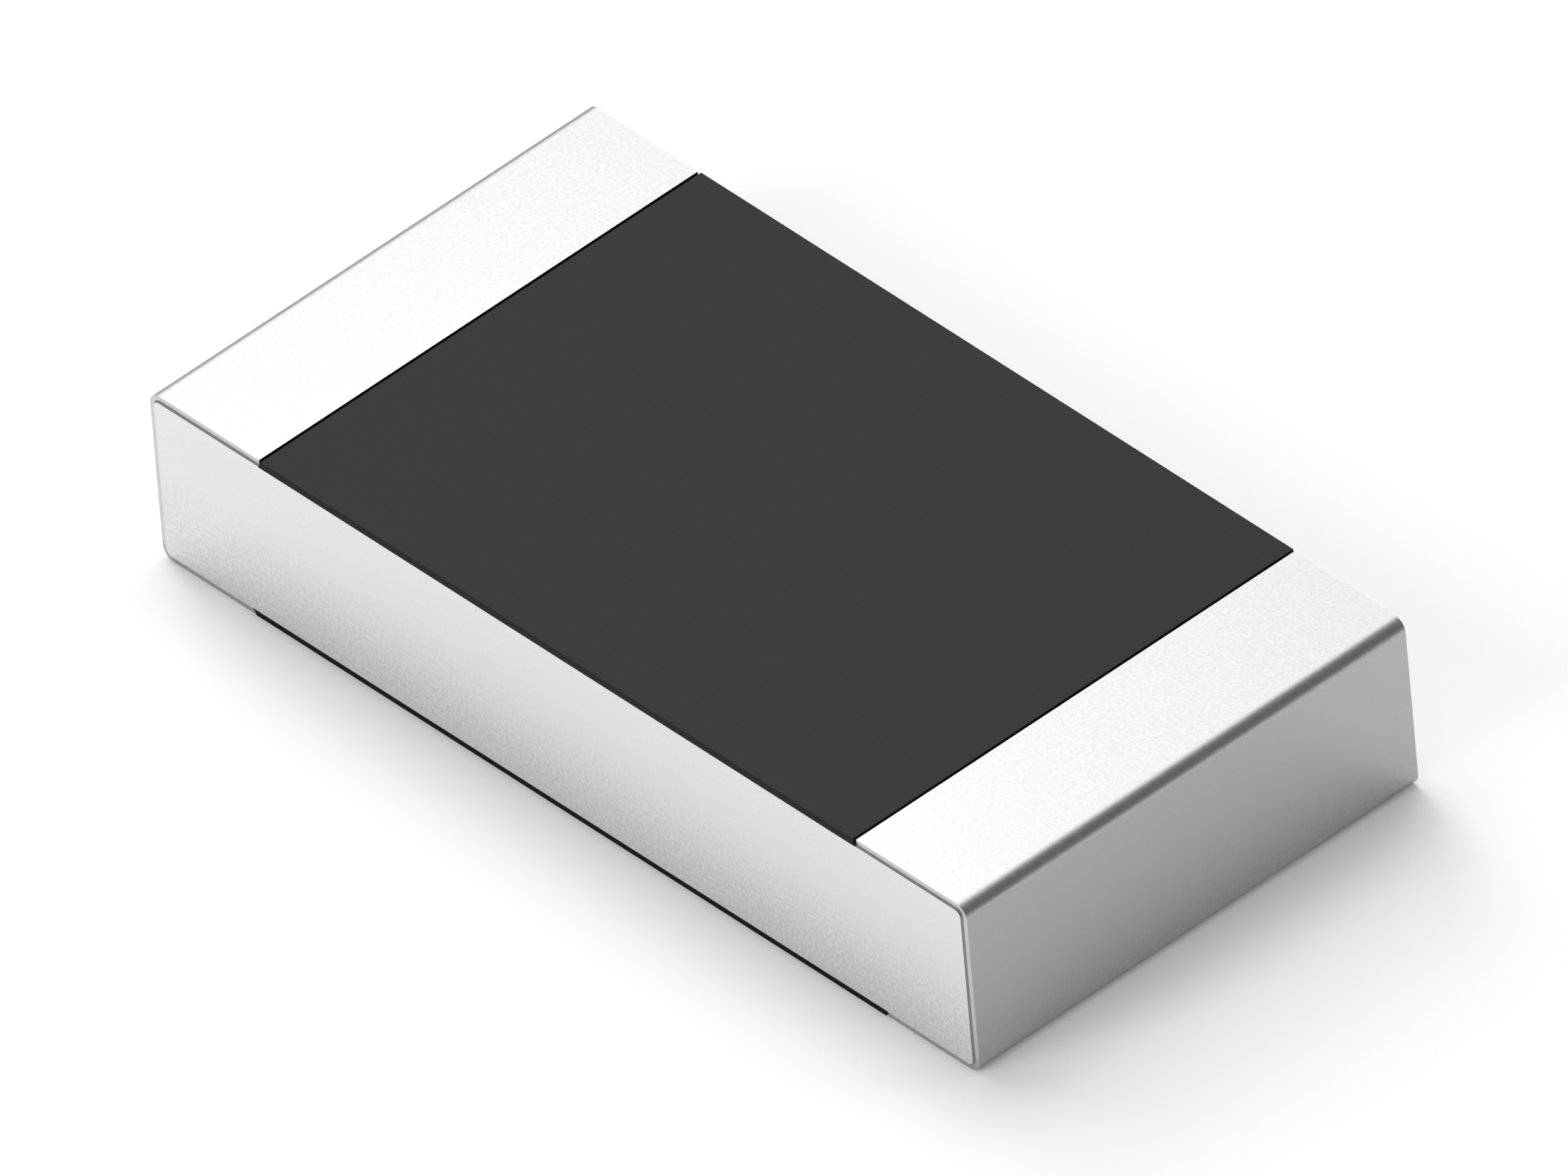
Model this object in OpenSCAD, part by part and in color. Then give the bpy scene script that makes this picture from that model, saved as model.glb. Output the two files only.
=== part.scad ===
// Flat thick-film chip resistor in the 1206 (3216 metric) case, in millimetres.
// X runs from terminal to terminal, Y across the chip and Z up from the board.
// The origin is the middle of the footprint, on the plane that the terminals stand on.

/* [Chip] */
// Overall length, over both terminals
chip_length = 3.15; // [2.6:0.05:4]
// Width of the ceramic
chip_width = 1.6; // [1.2:0.05:2.4]
// Overall height, from the solder plane to the top of the terminals
chip_height = 0.57; // [0.4:0.01:0.8]
// Corner radius of the ceramic, seen from its long side
ceramic_corner = 0.02; // [0.01:0.005:0.06]

/* [Terminals] */
// Length of each terminal on the top
top_terminal = 0.424; // [0.3:0.002:0.6]
// Length of each terminal on the underside
bottom_terminal = 0.352; // [0.25:0.002:0.6]
// Thickness of the silver electrode on the ceramic
electrode_film = 0.005; // [0.003:0.001:0.01]
// Thickness of the nickel barrier over the electrode
nickel_film = 0.005; // [0.003:0.001:0.01]
// Thickness of the tin plating over the nickel
tin_film = 0.01; // [0.005:0.001:0.02]
// How far the plating stands back from the ceramic's long sides
plating_setback = 0.005; // [0.002:0.001:0.01]

/* [Resistor] */
// How far each top electrode runs in under the overcoat, as a tongue
tongue_length = 0.22; // [0.2:0.01:0.3]
// Distance from the ceramic's long side to the tongue
tongue_margin = 0.14; // [0.06:0.02:0.18]
// Length of resistive film that lies on each tongue
film_overlap = 0.14; // [0.08:0.01:0.16]
// Distance from the ceramic's long side to the resistive film
film_margin = 0.2; // [0.18:0.02:0.3]
// Thickness of the resistive film
resistive_film = 0.006; // [0.004:0.001:0.01]
// Thickness of the glass over the resistive film
glass_film = 0.004; // [0.003:0.001:0.008]
// How far the glass reaches past the resistive film, at its ends and sides
glass_lap = 0.03; // [0.02:0.005:0.04]

/* [Laser trim] */
// Width of the laser cut
trim_width = 0.03; // [0.02:0.005:0.06]
// Place of the first leg along the chip, from its middle
trim_place = -0.35; // [-0.45:0.05:0]
// Length of the first leg, from the side of the resistive film
trim_depth = 0.45; // [0.2:0.05:0.6]
// Length of the second leg, along the chip
trim_run = 0.5; // [0.1:0.05:0.6]

/* [Coats] */
// Thickness of the overcoat where it is thinnest, over the glass
coat_cover = 0.005; // [0.003:0.001:0.02]
// Width of the groove between a coat and a terminal
coat_groove = 0.0095; // [0.006:0.0005:0.015]
// Thickness of the coat's foot, which is the floor of the groove
coat_foot = 0.003; // [0.002:0.001:0.008]
// How far the sides of a coat lean in on their way to its face
coat_lean = 0.002; // [0.001:0.001:0.004]
// Distance that the underside coat keeps from the solder plane
coat_clearance = 0.001; // [0.001:0.001:0.004]

/* [Hidden] */
$fn = 64;

// The terminal's layers, each as its distance from the ceramic
nickel_face = electrode_film + nickel_film;
terminal_film = nickel_face + tin_film;

// The ceramic inside the terminals
ceramic_length = chip_length - 2 * terminal_film;
ceramic_bottom = terminal_film;
ceramic_top = chip_height - terminal_film;
ceramic_end = ceramic_length / 2;
corner_x = ceramic_end - ceramic_corner;
corner_top = ceramic_top - ceramic_corner;
corner_bottom = ceramic_bottom + ceramic_corner;

// Places along the chip, from its middle
top_inner = chip_length / 2 - top_terminal;
bottom_inner = chip_length / 2 - bottom_terminal;
tongue_inner = top_inner - tongue_length;
film_end = tongue_inner + film_overlap;
glass_end = film_end + glass_lap;

// Widths across the chip
plating_width = chip_width - 2 * plating_setback;
tongue_width = chip_width - 2 * tongue_margin;
film_width = chip_width - 2 * film_margin;
glass_width = film_width + 2 * glass_lap;

// Heights over the ceramic's top
film_on_tongue = electrode_film + resistive_film;
glass_on_film = resistive_film + glass_film;
glass_on_tongue = electrode_film + glass_on_film;
overcoat_height = glass_on_tongue + coat_cover;

// Closes an outline that is the same on both sides of the chip's middle
function both_sides(right_half) = concat(
    right_half,
    [for (i = [len(right_half) - 1 : -1 : 0]) [-right_half[i][0], right_half[i][1]]]
);

// Sweeps an outline, drawn in length and height, across the chip
module across(width) {
    rotate([90, 0, 0])
        linear_extrude(width, center = true)
            children();
}

// Sweeps an outline, drawn in width and height, along the chip
module along(length) {
    rotate([90, 0, 90])
        linear_extrude(length)
            children();
}

module on_left() {
    mirror([1, 0, 0])
        children();
}

// Side view of the ceramic, grown by the layers that cover it
module side_view(grow) {
    corner = ceramic_corner + grow;
    half_length = ceramic_end + grow;
    low = ceramic_bottom - grow;
    height = ceramic_top - ceramic_bottom + 2 * grow;
    translate([-corner_x, low])
        square([2 * corner_x, height]);
    translate([-half_length, corner_bottom])
        square([2 * half_length, corner_top - corner_bottom]);
    for (x = [-corner_x, corner_x], z = [corner_bottom, corner_top])
        translate([x, z])
            circle(corner);
}

// One plated layer of the right-hand terminal, between two distances from the ceramic
module plated_layer(inner, outer) {
    middle = (ceramic_bottom + ceramic_top) / 2;
    across(plating_width)
        intersection() {
            difference() {
                side_view(outer);
                side_view(inner);
            }
            union() {
                translate([top_inner, middle])
                    square([top_terminal, chip_height - middle]);
                translate([bottom_inner, 0])
                    square([bottom_terminal, middle]);
            }
        }
}

// Section of an electrode's film, with feathered sides: width across the chip, height off the ceramic
module film_section() {
    polygon(both_sides([[chip_width / 2, 0], [plating_width / 2, electrode_film]]));
}

// The electrode's film as it turns the ceramic's upper corner
module film_corner() {
    translate([corner_x, 0, corner_top])
        rotate([90, 0, 0])
            rotate_extrude(angle = 90)
                translate([ceramic_corner, 0])
                    rotate(-90)
                        film_section();
}

// The tongues of both top electrodes, under the overcoat
module tongues() {
    for (side = [-1, 1])
        translate([side * (tongue_inner + top_inner) / 2, 0, ceramic_top + electrode_film / 2])
            cube([tongue_length, tongue_width, electrode_film], center = true);
}

// The resistive film before trimming: it steps up onto the tongues
module untrimmed_film() {
    step = tongue_inner - resistive_film;
    translate([0, 0, ceramic_top])
        across(film_width)
            polygon(both_sides([
                [tongue_inner, 0],
                [tongue_inner, electrode_film],
                [film_end, electrode_film],
                [film_end, film_on_tongue],
                [step, film_on_tongue],
                [step, resistive_film]
            ]));
}

// All that the glass takes up, with what lies under it
module glass_envelope() {
    step = tongue_inner - glass_on_film;
    translate([0, 0, ceramic_top])
        across(glass_width)
            polygon(both_sides([
                [glass_end, 0],
                [glass_end, glass_on_tongue],
                [step, glass_on_tongue],
                [step, glass_on_film]
            ]));
}

// The L-shaped laser cut, from the front side of the film down to the ceramic
module trim_cut() {
    front = -glass_width / 2 - trim_width;
    turn = -film_width / 2 + trim_depth;
    translate([trim_place, front, ceramic_top - overcoat_height])
        cube([trim_width, turn - front, 2 * overcoat_height]);
    translate([trim_place, turn - trim_width, ceramic_top - overcoat_height])
        cube([trim_run, trim_width, 2 * overcoat_height]);
}

// A coat with leaning sides, and a foot at each end that reaches the terminal, from height zero up
module coat(half_length, height) {
    face_length = half_length - coat_groove;
    face_width = chip_width / 2 - coat_lean;
    intersection() {
        across(chip_width)
            polygon(both_sides([
                [half_length, 0],
                [half_length, coat_foot],
                [face_length + coat_lean, coat_foot],
                [face_length, height]
            ]));
        translate([-half_length, 0, 0])
            along(2 * half_length)
                polygon(both_sides([[chip_width / 2, 0], [face_width, height]]));
    }
}

module ceramic_substrate() {
    color([0.92, 0.91, 0.89])
        across(chip_width)
            side_view(0);
}

module top_electrode() {
    color([0.5, 0.5, 0.49]) {
        translate([top_inner, 0, ceramic_top])
            along(corner_x - top_inner)
                film_section();
        intersection() {
            tongues();
            translate([0, -chip_width / 2, 0])
                cube([top_inner, chip_width, chip_height]);
        }
    }
}

module end_electrode() {
    color([0.5, 0.5, 0.49]) {
        translate([ceramic_end, 0, corner_bottom])
            rotate(-90)
                linear_extrude(corner_top - corner_bottom)
                    film_section();
        film_corner();
        translate([0, 0, chip_height])
            mirror([0, 0, 1])
                film_corner();
    }
}

module bottom_electrode() {
    color([0.5, 0.5, 0.49])
        translate([bottom_inner, 0, ceramic_bottom])
            mirror([0, 0, 1])
                along(corner_x - bottom_inner)
                    film_section();
}

module nickel_barrier() {
    color([0.68, 0.67, 0.65])
        plated_layer(electrode_film, nickel_face);
}

module tin_plating() {
    color([0.86, 0.86, 0.86])
        plated_layer(nickel_face, terminal_film);
}

module resistor_film() {
    color([0.16, 0.16, 0.18])
        difference() {
            untrimmed_film();
            trim_cut();
        }
}

module glass_coat() {
    color([0.35, 0.42, 0.4])
        difference() {
            glass_envelope();
            untrimmed_film();
            tongues();
            trim_cut();
        }
}

module top_overcoat() {
    color([0.24, 0.24, 0.24])
        difference() {
            translate([0, 0, ceramic_top])
                coat(top_inner, overcoat_height);
            difference() {
                glass_envelope();
                trim_cut();
            }
            tongues();
        }
}

module bottom_coat() {
    color([0.1, 0.1, 0.1])
        translate([0, 0, ceramic_bottom])
            mirror([0, 0, 1])
                coat(bottom_inner, terminal_film - coat_clearance);
}

ceramic_substrate();
on_left() top_electrode();  // top_electrode_left
top_electrode();  // top_electrode_right
on_left() end_electrode();  // end_electrode_left
end_electrode();  // end_electrode_right
on_left() bottom_electrode();  // bottom_electrode_left
bottom_electrode();  // bottom_electrode_right
on_left() nickel_barrier();  // nickel_barrier_left
nickel_barrier();  // nickel_barrier_right
on_left() tin_plating();  // tin_plating_left
tin_plating();  // tin_plating_right
resistor_film();
glass_coat();
top_overcoat();
bottom_coat();
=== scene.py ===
"""Looks of a flat thick-film chip resistor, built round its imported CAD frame, in metres."""

import math

import bmesh
import bpy
from mathutils import Matrix, Vector


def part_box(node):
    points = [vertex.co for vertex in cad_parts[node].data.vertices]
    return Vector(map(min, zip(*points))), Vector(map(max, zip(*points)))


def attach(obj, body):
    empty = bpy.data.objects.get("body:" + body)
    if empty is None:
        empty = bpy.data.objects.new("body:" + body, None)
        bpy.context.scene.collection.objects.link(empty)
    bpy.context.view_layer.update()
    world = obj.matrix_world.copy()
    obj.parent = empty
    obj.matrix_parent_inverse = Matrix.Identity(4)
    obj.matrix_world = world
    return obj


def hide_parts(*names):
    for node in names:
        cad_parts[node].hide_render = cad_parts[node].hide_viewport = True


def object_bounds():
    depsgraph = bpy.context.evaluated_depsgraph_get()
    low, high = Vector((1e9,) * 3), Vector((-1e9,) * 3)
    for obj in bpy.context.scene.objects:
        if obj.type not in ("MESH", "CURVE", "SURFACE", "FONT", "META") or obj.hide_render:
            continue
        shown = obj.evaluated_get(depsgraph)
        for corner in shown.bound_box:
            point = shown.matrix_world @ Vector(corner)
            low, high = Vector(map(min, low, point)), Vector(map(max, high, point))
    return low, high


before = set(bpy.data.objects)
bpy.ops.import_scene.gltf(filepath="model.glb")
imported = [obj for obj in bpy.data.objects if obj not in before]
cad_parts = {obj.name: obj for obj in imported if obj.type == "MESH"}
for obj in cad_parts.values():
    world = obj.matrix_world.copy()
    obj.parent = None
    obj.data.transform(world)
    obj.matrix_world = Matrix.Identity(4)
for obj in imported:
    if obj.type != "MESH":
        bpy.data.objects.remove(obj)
cad_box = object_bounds()

MM = 0.001
UM = 0.000001

# Meshes
ARC_STEPS = 24
COVE_STEPS = 8
SUPPORT = 1.0 * UM
SHARP_ANGLE = math.radians(25)

# Finishes: their heights and widths are in millimetres
GRAIN_LOW, GRAIN_HIGH = 0.3, 0.7
NOISE_ROUGHNESS = 0.55
HAIR = 0.0001
# Height of the black shadow line painted on the ceramic's edges under the coats
PAINTED_SHADE_LINE = 0.0025
# Share of the coats' tone kept below the part's top face, for painted shade on their flanks
COAT_PAINTED_FLANK_SHADE = 0.6
# Heights over which the ceramic's grain and its painted shade fade out upwards
CERAMIC_GRAIN_AND_PAINTED_SHADE_FADE = (0.12, 0.34)
TIN_GRAIN_FADES_AT_FOOT = (0.06, 0.16)
TIN_GRAIN_RETURNS_ON_TOP = (0.5, 0.56)
# Painted sheen on the plating's cut sides: the heights over which it comes in above the floor, and
# its tone
PAINTED_SHEEN_RISES = (0.02, 0.06)
PAINTED_SHEEN_TONE = 0.6
# Tone of the painted shade on the plating's wall in the groove
GROOVE_PAINTED_SHADE_TONE = 0.05

# Camera: a parallel view, as in the photo
IMAGE_WIDTH_PX = 2212
IMAGE_HEIGHT_PX = 1659
AZIMUTH = math.radians(50)
ELEVATION = math.radians(40)
ROLL = math.radians(-5)
VIEW_WIDTH = 4.1319 * MM
FOOTPRINT_MIDDLE_PX = (1116.4, 946.1)
CAMERA_DISTANCE = 40 * MM
CLIP_START, CLIP_END = 1 * MM, 1.0

# Stage: the sky falls off between two cosines of the angle from its brightest place
SKY_AZIMUTH, SKY_ELEVATION = 145, 42
SKY_LOW, SKY_HIGH = 0.23, 0.45
SKY_RIM, SKY_MIDDLE = 0.2, 1.0
FLOOR_RADIUS = 60 * MM
FLOOR_STEPS = 96
FADE_START, FADE_END = 3.6 * MM, 8 * MM

# Lamps: name, azimuth and elevation in degrees, distance, size and radiance, where 1 looks white
LAMP_DISTANCE = 40 * MM
CLOSE_CARD_DISTANCE = 8.6 * MM
LIGHTING_LAMPS = (
    ("overhead", 140, 70, LAMP_DISTANCE, 24 * MM, 2.8),
    ("left", 185, 45, LAMP_DISTANCE, 24 * MM, 1.17),
    ("left_back", 160, 36, LAMP_DISTANCE, 16 * MM, 3.5),
    ("front", -95, 35, LAMP_DISTANCE, 20 * MM, 3.9),
    ("front_right", -50, 40, LAMP_DISTANCE, 20 * MM, 1.25),
    ("right_low", 12, 28, LAMP_DISTANCE, 14 * MM, 1.8),
    ("back_right", 60, 40, LAMP_DISTANCE, 20 * MM, 0.84),
)
REFLECTED_CARDS = (
    ("card_front", -133, 30, LAMP_DISTANCE, 26 * MM, 1.6),
    ("card", 145, 45, LAMP_DISTANCE, 36 * MM, 1.72),
    ("card_high", 100, 66, LAMP_DISTANCE, 18 * MM, 0.78),
    ("card_near", 156, 55, CLOSE_CARD_DISTANCE, 3 * MM, 2.43),
)


# Places that the frame gives: the ceramic's outline and the layers on it

ceramic_low, ceramic_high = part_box("ceramic_substrate")
end_film_low, end_film_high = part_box("end_electrode_right")
_, nickel_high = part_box("nickel_barrier_right")
tin_low, tin_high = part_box("tin_plating_right")
tongue_low, tongue_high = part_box("top_electrode_right")
bottom_film_low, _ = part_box("bottom_electrode_right")

corner_x = end_film_low.x
corner_radius = ceramic_high.x - corner_x
top_inner = tin_low.x
bottom_inner = bottom_film_low.x
electrode_face = end_film_high.x - ceramic_high.x
nickel_face = nickel_high.x - ceramic_high.x
tin_face = tin_high.x - ceramic_high.x
ceramic_half_width = ceramic_high.y
plating_half_width = tin_high.y
tongue_half_width = min(
    abs(v.co.y)
    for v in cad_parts["top_electrode_right"].data.vertices
    if v.co.x < top_inner - UM
)


def arc(centre_x, centre_z, start, end):
    """Stations round a corner of the ceramic: place on its outline and outward direction."""
    stations = []
    for i in range(ARC_STEPS + 1):
        turn = math.radians(start + (end - start) * i / ARC_STEPS)
        out_x, out_z = math.sin(turn), math.cos(turn)
        x, z = centre_x + corner_radius * out_x, centre_z + corner_radius * out_z
        stations.append((x, z, out_x, out_z))
    return stations


def top_path():
    """From the terminal's inner edge on the top to the ceramic's upper corner."""
    top = ceramic_high.z
    return [(x, top, 0, 1) for x in (top_inner, corner_x - SUPPORT, corner_x)]


def end_path():
    """Round the upper corner, down the end and round the lower corner."""
    upper = arc(corner_x, ceramic_high.z - corner_radius, 0, 90)
    lower = arc(corner_x, ceramic_low.z + corner_radius, 90, 180)
    end = ceramic_high.x
    middle = [(end, upper[-1][1] - SUPPORT, 1, 0), (end, lower[0][1] + SUPPORT, 1, 0)]
    return upper + middle + lower


def bottom_path():
    """From the ceramic's lower corner to the terminal's inner edge on the underside."""
    bottom = ceramic_low.z
    return [(x, bottom, 0, -1) for x in (corner_x, corner_x - SUPPORT, bottom_inner)]


def plated_section(inner, outer):
    """A layer of plating cut across: place across the chip and distance from the ceramic."""
    half = plating_half_width
    return [(-half, inner), (half, inner), (half, outer), (-half, outer)]


def electrode_section():
    """The electrode's film cut across, with a coved rim on both sides."""
    setback = ceramic_half_width - plating_half_width
    rim = []
    for i in range(COVE_STEPS + 1):
        turn = math.radians(90 * i / COVE_STEPS)
        across = ceramic_half_width - setback * math.sin(turn)
        rim.append((across, electrode_face * (1 - math.cos(turn))))
    return rim + [(-across, off) for across, off in reversed(rim)]


def sweep(bm, section, stations, side):
    """Carries a closed section along the stations, on the chip's right (1) or left (-1) end."""
    rings = [
        [
            bm.verts.new((side * (x + off * out_x), across, z + off * out_z))
            for across, off in section
        ]
        for x, z, out_x, out_z in stations
    ]
    for near, far in zip(rings, rings[1:]):
        for i in range(len(section)):
            bm.faces.new((near[i - 1], near[i], far[i], far[i - 1]))
    bm.faces.new(rings[0])
    bm.faces.new(rings[-1])


def add_block(bm, low, high):
    """A block between two corners, for a film's plain tongue."""
    corners = [
        bm.verts.new((x, y, z))
        for x in (low[0], high[0])
        for y in (low[1], high[1])
        for z in (low[2], high[2])
    ]
    sides = ((0, 1, 3, 2), (4, 6, 7, 5), (0, 4, 5, 1), (2, 3, 7, 6), (0, 2, 6, 4), (1, 5, 7, 3))
    for side in sides:
        bm.faces.new([corners[i] for i in side])


def make_piece(name, bm, material, node):
    """Turns a mesh into a piece that rides on the part and stands for a CAD node."""
    bmesh.ops.recalc_face_normals(bm, faces=bm.faces)
    mesh = bpy.data.meshes.new(name)
    bm.to_mesh(mesh)
    bm.free()
    mesh.polygons.foreach_set("use_smooth", [True] * len(mesh.polygons))
    mesh.set_sharp_from_angle(angle=SHARP_ANGLE)
    mesh.materials.append(material)
    piece = bpy.data.objects.new(name, mesh)
    bpy.context.scene.collection.objects.link(piece)
    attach(piece, "root")
    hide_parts(node)


# Materials

class Finish:
    """A Principled node material that is worked out from the place on the part, in millimetres."""

    def __init__(self, name):
        self.material = bpy.data.materials.new(name)
        self.material.use_nodes = True
        self.nodes = self.material.node_tree.nodes
        self.links = self.material.node_tree.links
        self.shader = self.nodes["Principled BSDF"]
        place = self.nodes.new("ShaderNodeTexCoord")
        millimetres = self.nodes.new("ShaderNodeVectorMath")
        millimetres.operation = "SCALE"
        self.feed(millimetres.inputs[0], place.outputs["Object"])
        self.feed(millimetres.inputs["Scale"], 1 / MM)
        self.place = millimetres.outputs["Vector"]

    def feed(self, socket, value):
        """Gives a socket a plain number or what another socket puts out."""
        if isinstance(value, bpy.types.NodeSocket):
            self.links.new(value, socket)
        else:
            socket.default_value = value

    def shade(self, name, value):
        """Gives one of the shader's sockets a plain number or a worked-out value."""
        self.feed(self.shader.inputs[name], value)

    def along(self, axis):
        """The place along one axis."""
        node = self.nodes.new("ShaderNodeSeparateXYZ")
        self.feed(node.inputs["Vector"], self.place)
        return node.outputs[axis]

    def off_middle(self, axis):
        """The distance from the part's middle along one axis."""
        return self.combine("ABSOLUTE", self.along(axis))

    def from_origin(self):
        """The distance from the origin."""
        node = self.nodes.new("ShaderNodeVectorMath")
        node.operation = "LENGTH"
        self.feed(node.inputs[0], self.place)
        return node.outputs["Value"]

    def combine(self, operation, first, second=0.0):
        """A value worked out from one or two others."""
        node = self.nodes.new("ShaderNodeMath")
        node.operation = operation
        self.feed(node.inputs[0], first)
        self.feed(node.inputs[1], second)
        return node.outputs["Value"]

    def spread(self, value, start, end, low, high):
        """Runs from low to high while the value runs from start to end."""
        node = self.nodes.new("ShaderNodeMapRange")
        self.feed(node.inputs["Value"], value)
        self.feed(node.inputs["From Min"], start)
        self.feed(node.inputs["From Max"], end)
        self.feed(node.inputs["To Min"], low)
        self.feed(node.inputs["To Max"], high)
        return node.outputs["Result"]

    def blend(self, share, first, second):
        """The first value where the share is 0, and the second where it is 1."""
        node = self.nodes.new("ShaderNodeMix")
        self.feed(node.inputs["Factor"], share)
        self.feed(node.inputs["A"], first)
        self.feed(node.inputs["B"], second)
        return node.outputs["Result"]

    def noise(self, per_mm, detail=3.0):
        """Grain with this many features in a millimetre."""
        node = self.nodes.new("ShaderNodeTexNoise")
        self.feed(node.inputs["Vector"], self.place)
        self.feed(node.inputs["Scale"], per_mm)
        self.feed(node.inputs["Detail"], detail)
        self.feed(node.inputs["Roughness"], NOISE_ROUGHNESS)
        return node.outputs["Fac"]

    def by_grain(self, grain, low, high):
        """Runs from low to high over the range in which most of the grain lies."""
        return self.spread(grain, GRAIN_LOW, GRAIN_HIGH, low, high)

    def colour(self, value, *stops):
        """The base colour runs through the stops, each a position and a colour, with the value."""
        node = self.nodes.new("ShaderNodeValToRGB")
        elements = node.color_ramp.elements
        for element, (position, _) in zip(elements, (stops[0], stops[-1])):
            element.position = position
        for position, _ in stops[1:-1]:
            elements.new(position)
        for element, (_, colour) in zip(elements, stops):
            element.color = (*colour, 1)
        self.feed(node.inputs["Fac"], value)
        self.shade("Base Color", node.outputs["Color"])

    def colour_by_grain(self, grain, dark, light):
        """The base colour runs from dark to light with the grain."""
        self.colour(grain, (GRAIN_LOW, dark), (GRAIN_HIGH, light))

    def surface(self, grain, smooth, rough, depth):
        """Roughness from smooth to rough with the grain, and relief of this depth, in metres."""
        self.shade("Roughness", self.by_grain(grain, smooth, rough))
        bump = self.nodes.new("ShaderNodeBump")
        self.feed(bump.inputs["Distance"], depth)
        self.feed(bump.inputs["Strength"], 1.0)
        self.feed(bump.inputs["Height"], grain)
        self.shade("Normal", bump.outputs["Normal"])


def clear_of_painted_shade_line(finish, edge, inner):
    """0 on a painted shadow line, in black, along the ceramic's edge at this height, under the
    coat between the terminals. Else 1.
    """
    off_edge = finish.combine("SUBTRACT", finish.along("Z"), edge / MM)
    off_edge = finish.combine("ABSOLUTE", off_edge)
    soft = 2 * HAIR
    past_painted_shade_line = finish.spread(off_edge, PAINTED_SHADE_LINE - soft, PAINTED_SHADE_LINE + soft, 0.0, 1.0)
    coat_end = inner / MM
    past_coat = finish.spread(finish.off_middle("X"), coat_end - soft, coat_end + soft, 0.0, 1.0)
    return finish.combine("MAXIMUM", past_painted_shade_line, past_coat)


def alumina():
    """Fired ceramic: warm white, with a satin gloss and a fine grain that fades upwards; painted
    shade makes the lower part darker, and a painted black shadow line runs along its edges under
    the coats.
    """
    dark, light, painted_line_black = (0.625, 0.617, 0.605), (0.805, 0.796, 0.781), (0.015, 0.015, 0.015)
    finish = Finish("alumina")
    grain = finish.noise(85, detail=2)
    # Painted shade: towards the floor the grain takes over from a lighter fixed tone, so the lower
    # part is darker as well as speckled
    share = finish.spread(finish.along("Z"), *CERAMIC_GRAIN_AND_PAINTED_SHADE_FADE, 1.0, 0.15)
    grain_and_painted_shade = finish.blend(share, 0.63, grain)
    # Painted shadow: a black line along the ceramic's top and bottom edges, under the coats
    # between the terminals
    for edge, inner in ((ceramic_high.z, top_inner), (ceramic_low.z, bottom_inner)):
        grain_and_painted_shade = finish.combine("MULTIPLY", grain_and_painted_shade, clear_of_painted_shade_line(finish, edge, inner))
    finish.colour(grain_and_painted_shade, (0.02, painted_line_black), (0.1, dark), (GRAIN_LOW, dark), (GRAIN_HIGH, light))
    finish.surface(grain, 0.28, 0.3, 0.5 * UM)
    finish.shade("Metallic", 0.9)
    return finish.material


def painted_sheen_on_cut_sides(finish):
    """1 on the plating's cut sides, which get a painted sheen; near the floor it fades out, so
    there they are darker, a painted shade. 0 on its broad faces.
    """
    half = plating_half_width / MM
    side = finish.spread(finish.off_middle("Y"), half - 4 * HAIR, half - HAIR, 0.0, 1.0)
    raised = finish.spread(finish.along("Z"), *PAINTED_SHEEN_RISES, 0.0, 1.0)
    return finish.combine("MULTIPLY", side, raised)


def painted_groove_shade(finish):
    """1 on the plating's inner end face on the top, which painted shade darkens in the groove.
    Else 0.
    """
    wall = top_inner / MM
    top = ceramic_high.z / MM
    at_wall = finish.spread(finish.off_middle("X"), wall + 2 * HAIR, wall + 4 * HAIR, 1.0, 0.0)
    raised = finish.spread(finish.along("Z"), top - 2 * HAIR, top, 0.0, 1.0)
    return finish.combine("MULTIPLY", at_wall, raised)


def plating_tone(finish, tone):
    """Plating of this tone, with a painted sheen on its cut sides and painted shade on its wall in
    the groove.
    """
    # Painted sheen on the cut sides
    tone = finish.blend(painted_sheen_on_cut_sides(finish), tone, PAINTED_SHEEN_TONE)
    # Painted shade: the plating's wall in the groove is darkened to nearly black
    tone = finish.blend(painted_groove_shade(finish), tone, GROOVE_PAINTED_SHADE_TONE)
    finish.shade("Base Color", tone)
    finish.shade("Metallic", 1.0)


def tin():
    """Bright plating with a fine grain, which shows on the top and at the foot."""
    finish = Finish("tin")
    grain = finish.noise(95, detail=2)
    height = finish.along("Z")
    on_top = finish.spread(height, *TIN_GRAIN_RETURNS_ON_TOP, 0.25, 1.0)
    at_foot = finish.spread(height, *TIN_GRAIN_FADES_AT_FOOT, 0.7, 0.25)
    share = finish.combine("MAXIMUM", on_top, at_foot)
    plating_tone(finish, finish.by_grain(finish.blend(share, 0.5, grain), 0.405, 0.48))
    finish.surface(grain, 0.37, 0.41, 0.25 * UM)
    return finish.material


def nickel():
    """Satin barrier layer under the tin. Only its edge shows."""
    finish = Finish("nickel")
    grain = finish.noise(200, detail=4)
    plating_tone(finish, finish.by_grain(grain, 0.42, 0.46))
    finish.surface(grain, 0.2, 0.3, 0.05 * UM)
    return finish.material


def fired_silver():
    """Dull printed and fired film, darker than the plating over it."""
    finish = Finish("fired_silver")
    grain = finish.noise(220, detail=4)
    finish.colour_by_grain(grain, (0.28, 0.28, 0.28), (0.34, 0.34, 0.34))
    finish.surface(grain, 0.5, 0.65, 0.2 * UM)
    finish.shade("Metallic", 1.0)
    return finish.material


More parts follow.
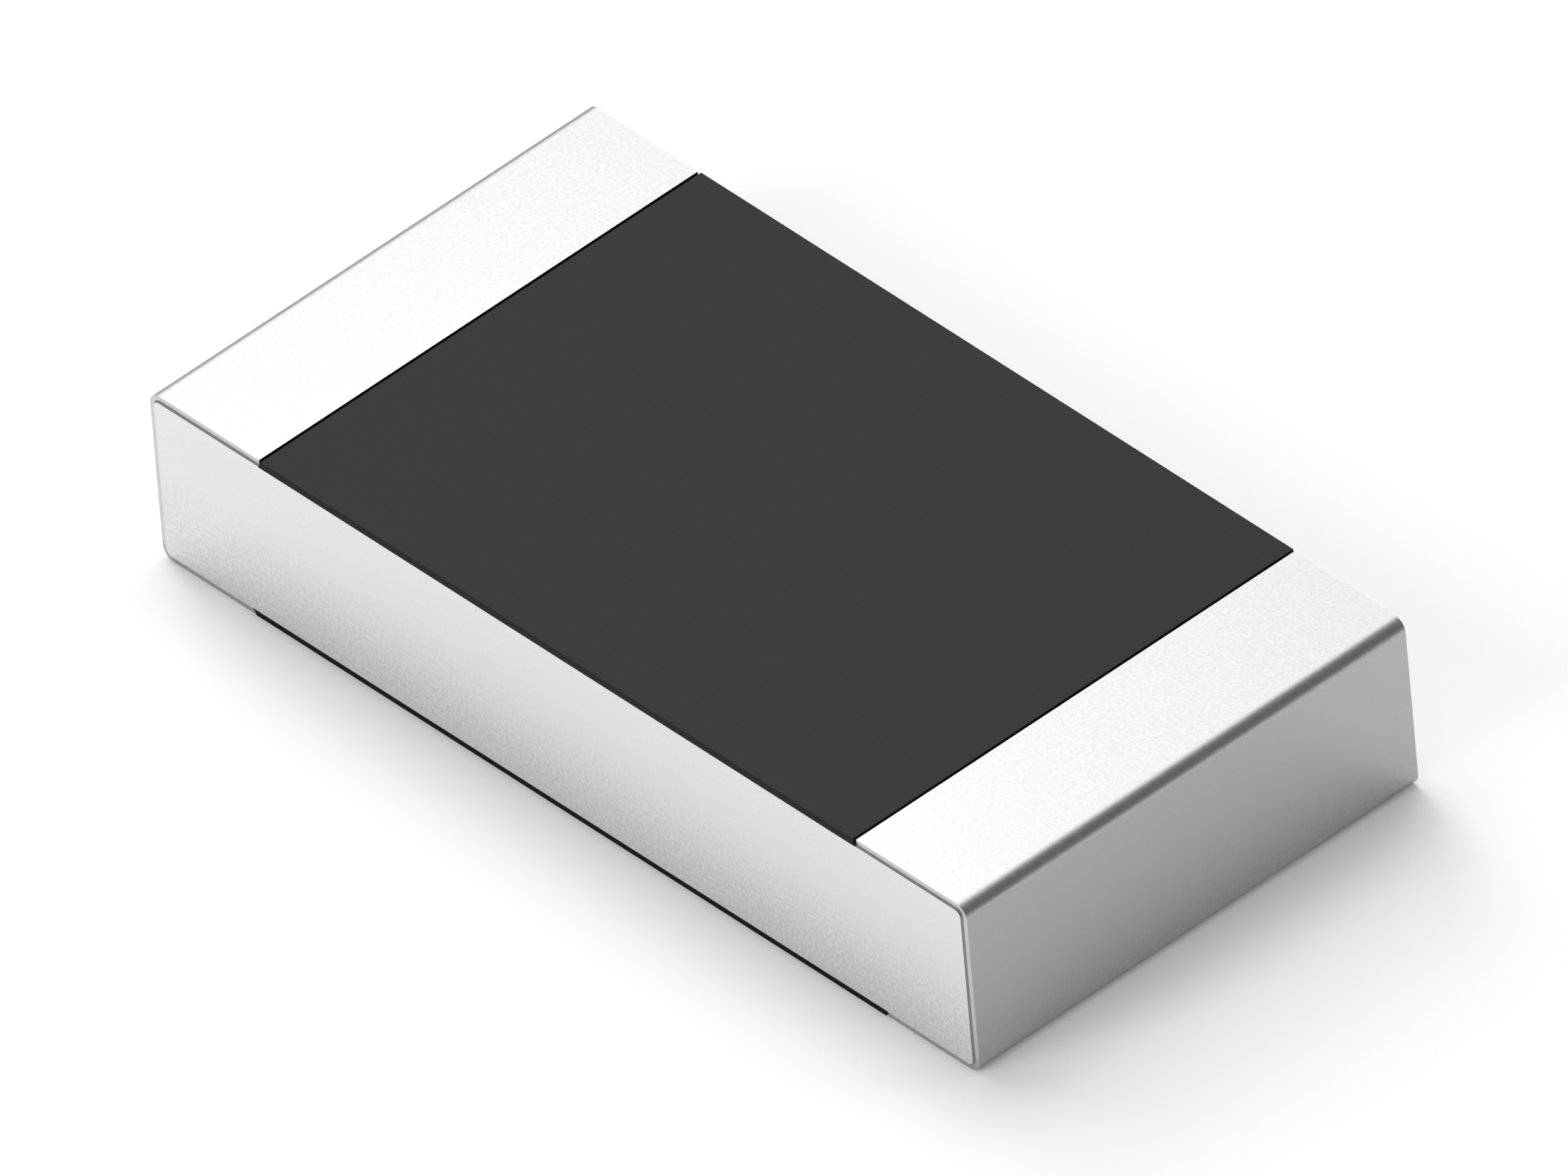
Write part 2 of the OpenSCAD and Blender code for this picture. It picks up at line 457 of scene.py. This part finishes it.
def printed_coat(name, dark, light, gloss):
    """Printed black coat: matt, with a fine filler grain, and painted shade that makes it darker
    below the part's top face.
    """
    finish = Finish(name)
    grain = finish.noise(110, detail=4)
    face = cad_box[1][2] / MM
    height = finish.along("Z")
    # Painted shade: the coat is darker below the part's top face, so the underside coat is
    # darkened all over
    painted_flank_shade = finish.spread(height, face - 8 * HAIR, face - 2 * HAIR, COAT_PAINTED_FLANK_SHADE, 1.0)
    tone = finish.combine("MULTIPLY", finish.by_grain(grain, dark, light), painted_flank_shade)
    finish.shade("Base Color", tone)
    finish.surface(grain, 0.62, 0.72, 0.15 * UM)
    finish.shade("Specular IOR Level", gloss)
    return finish.material


def resistive():
    """Fired resistive film: nearly black, with lighter conducting grains."""
    finish = Finish("resistive")
    grain = finish.noise(150, detail=5)
    finish.colour_by_grain(grain, (0.008, 0.008, 0.01), (0.03, 0.03, 0.035))
    finish.surface(grain, 0.3, 0.45, 0.2 * UM)
    return finish.material


def fired_glass():
    """Glass over the resistive film, tinted and a little uneven."""
    finish = Finish("fired_glass")
    grain = finish.noise(12)
    finish.colour_by_grain(grain, (0.06, 0.10, 0.09), (0.10, 0.15, 0.14))
    finish.surface(grain, 0.12, 0.2, 0.3 * UM)
    return finish.material


def studio_floor():
    """Plain white floor that takes the part's shadow. Far from the part it falls off to grey."""
    white, grey = (1.0, 1.0, 1.0), (0.3, 0.3, 0.3)
    finish = Finish("studio_floor")
    fade = finish.spread(finish.from_origin(), FADE_START / MM, FADE_END / MM, 0.0, 1.0)
    finish.colour(fade, (0.0, white), (1.0, grey))
    finish.shade("Roughness", finish.by_grain(finish.noise(3), 0.85, 0.95))
    finish.shade("Specular IOR Level", 0.0)
    return finish.material


# Pieces

def build_ceramic(material):
    """The ceramic bar, with its small rounded corners drawn finely."""
    right = end_path()
    outline = [(x, z) for x, z, _, _ in right] + [(-x, z) for x, z, _, _ in reversed(right)]
    bm = bmesh.new()
    front, back = (
        [bm.verts.new((x, across, z)) for x, z in outline]
        for across in (-ceramic_half_width, ceramic_half_width)
    )
    for i in range(len(outline)):
        bm.faces.new((front[i - 1], front[i], back[i], back[i - 1]))
    bm.faces.new(front)
    bm.faces.new(back)
    make_piece("alumina_chip", bm, material, "ceramic_substrate")


def build_terminals(silver_material, nickel_material, tin_material):
    """Both terminals: coved electrodes, and the two plated layers that wrap them."""
    whole_path = top_path()[:-1] + end_path() + bottom_path()[1:]
    for side, hand in ((-1, "left"), (1, "right")):
        for name, path in (("top", top_path()), ("end", end_path()), ("bottom", bottom_path())):
            bm = bmesh.new()
            sweep(bm, electrode_section(), path, side)
            if name == "top":
                add_block(
                    bm,
                    (side * tongue_low.x, -tongue_half_width, tongue_low.z),
                    (side * top_inner, tongue_half_width, tongue_high.z),
                )
            piece, node = f"{name}_film_{hand}", f"{name}_electrode_{hand}"
            make_piece(piece, bm, silver_material, node)
        bm = bmesh.new()
        sweep(bm, plated_section(electrode_face, nickel_face), whole_path, side)
        make_piece(f"nickel_wrap_{hand}", bm, nickel_material, f"nickel_barrier_{hand}")
        bm = bmesh.new()
        sweep(bm, plated_section(nickel_face, tin_face), whole_path, side)
        make_piece(f"tin_wrap_{hand}", bm, tin_material, f"tin_plating_{hand}")


def dress_node(node, material):
    """Gives a CAD node, whose shape is right, a better finish."""
    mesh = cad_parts[node].data
    mesh.materials.clear()
    mesh.materials.append(material)


build_ceramic(alumina())
build_terminals(fired_silver(), nickel(), tin())
dress_node("resistor_film", resistive())
dress_node("glass_coat", fired_glass())
dress_node("top_overcoat", printed_coat("overcoat", 0.015, 0.0228, 0.2))
dress_node("bottom_coat", printed_coat("underside_coat", 0.0125, 0.017, 0.05))


# Stage, light and camera

def build_floor():
    """A wide disc under the part."""
    bm = bmesh.new()
    bmesh.ops.create_circle(bm, cap_ends=True, segments=FLOOR_STEPS, radius=FLOOR_RADIUS)
    mesh = bpy.data.meshes.new("floor")
    bm.to_mesh(mesh)
    bm.free()
    mesh.materials.append(studio_floor())
    floor = bpy.data.objects.new("floor", mesh)
    bpy.context.scene.collection.objects.link(floor)


def towards(azimuth, elevation):
    """Unit direction. The azimuth, in degrees, runs from +X to +Y."""
    turn, rise = math.radians(azimuth), math.radians(elevation)
    level = math.cos(rise)
    return Vector((math.cos(turn) * level, math.sin(turn) * level, math.sin(rise)))


def build_sky():
    """A studio dome that is brightest at the upper left and falls off all round it."""
    world = bpy.data.worlds.new("studio")
    world.use_nodes = True
    nodes, links = world.node_tree.nodes, world.node_tree.links
    direction = nodes.new("ShaderNodeTexCoord")
    nearness = nodes.new("ShaderNodeVectorMath")
    nearness.operation = "DOT_PRODUCT"
    nearness.inputs[1].default_value = towards(SKY_AZIMUTH, SKY_ELEVATION)
    links.new(direction.outputs["Generated"], nearness.inputs[0])
    ramp = nodes.new("ShaderNodeMapRange")
    ramp.interpolation_type = "SMOOTHSTEP"
    ramp.inputs["From Min"].default_value = SKY_RIM
    ramp.inputs["From Max"].default_value = SKY_MIDDLE
    ramp.inputs["To Min"].default_value = SKY_LOW
    ramp.inputs["To Max"].default_value = SKY_HIGH
    links.new(nearness.outputs["Value"], ramp.inputs["Value"])
    background = nodes["Background"]
    links.new(ramp.outputs["Result"], background.inputs["Strength"])
    background.inputs["Color"].default_value = (1, 1, 1, 1)
    bpy.context.scene.world = world


def add_softbox(name, azimuth, elevation, distance, size, radiance, reflected):
    """A square lamp that faces the part, for reflections only or for matt surfaces only."""
    light = bpy.data.lights.new(name, "AREA")
    light.shape = "SQUARE"
    light.size = size
    light.energy = radiance * math.pi * size * size
    lamp = bpy.data.objects.new(name, light)
    out = towards(azimuth, elevation)
    lamp.location = out * distance
    lamp.rotation_euler = out.to_track_quat("Z", "Y").to_euler()
    lamp.visible_diffuse = not reflected
    lamp.visible_glossy = reflected
    bpy.context.scene.collection.objects.link(lamp)


def build_camera():
    """The photo's parallel view, with the footprint's middle where the photo has it."""
    view = Vector((
        math.sin(AZIMUTH) * math.cos(ELEVATION),
        -math.cos(AZIMUTH) * math.cos(ELEVATION),
        math.sin(ELEVATION),
    ))
    turn = view.to_track_quat("Z", "Y").to_matrix() @ Matrix.Rotation(ROLL, 3, "Z")
    right, up = turn.col[0], turn.col[1]
    px = VIEW_WIDTH / IMAGE_WIDTH_PX
    aim = (
        right * (IMAGE_WIDTH_PX / 2 - FOOTPRINT_MIDDLE_PX[0]) * px
        - up * (IMAGE_HEIGHT_PX / 2 - FOOTPRINT_MIDDLE_PX[1]) * px
    )
    data = bpy.data.cameras.new("camera")
    data.type = "ORTHO"
    data.ortho_scale = VIEW_WIDTH
    data.clip_start = CLIP_START
    data.clip_end = CLIP_END
    camera = bpy.data.objects.new("camera", data)
    camera.rotation_euler = turn.to_euler()
    camera.location = aim + view * CAMERA_DISTANCE
    bpy.context.scene.collection.objects.link(camera)
    bpy.context.scene.camera = camera


build_floor()
build_sky()
for lamp_row in LIGHTING_LAMPS:
    add_softbox(*lamp_row, reflected=False)
for lamp_row in REFLECTED_CARDS:
    add_softbox(*lamp_row, reflected=True)
build_camera()
bpy.context.scene.view_settings.view_transform = "Standard"
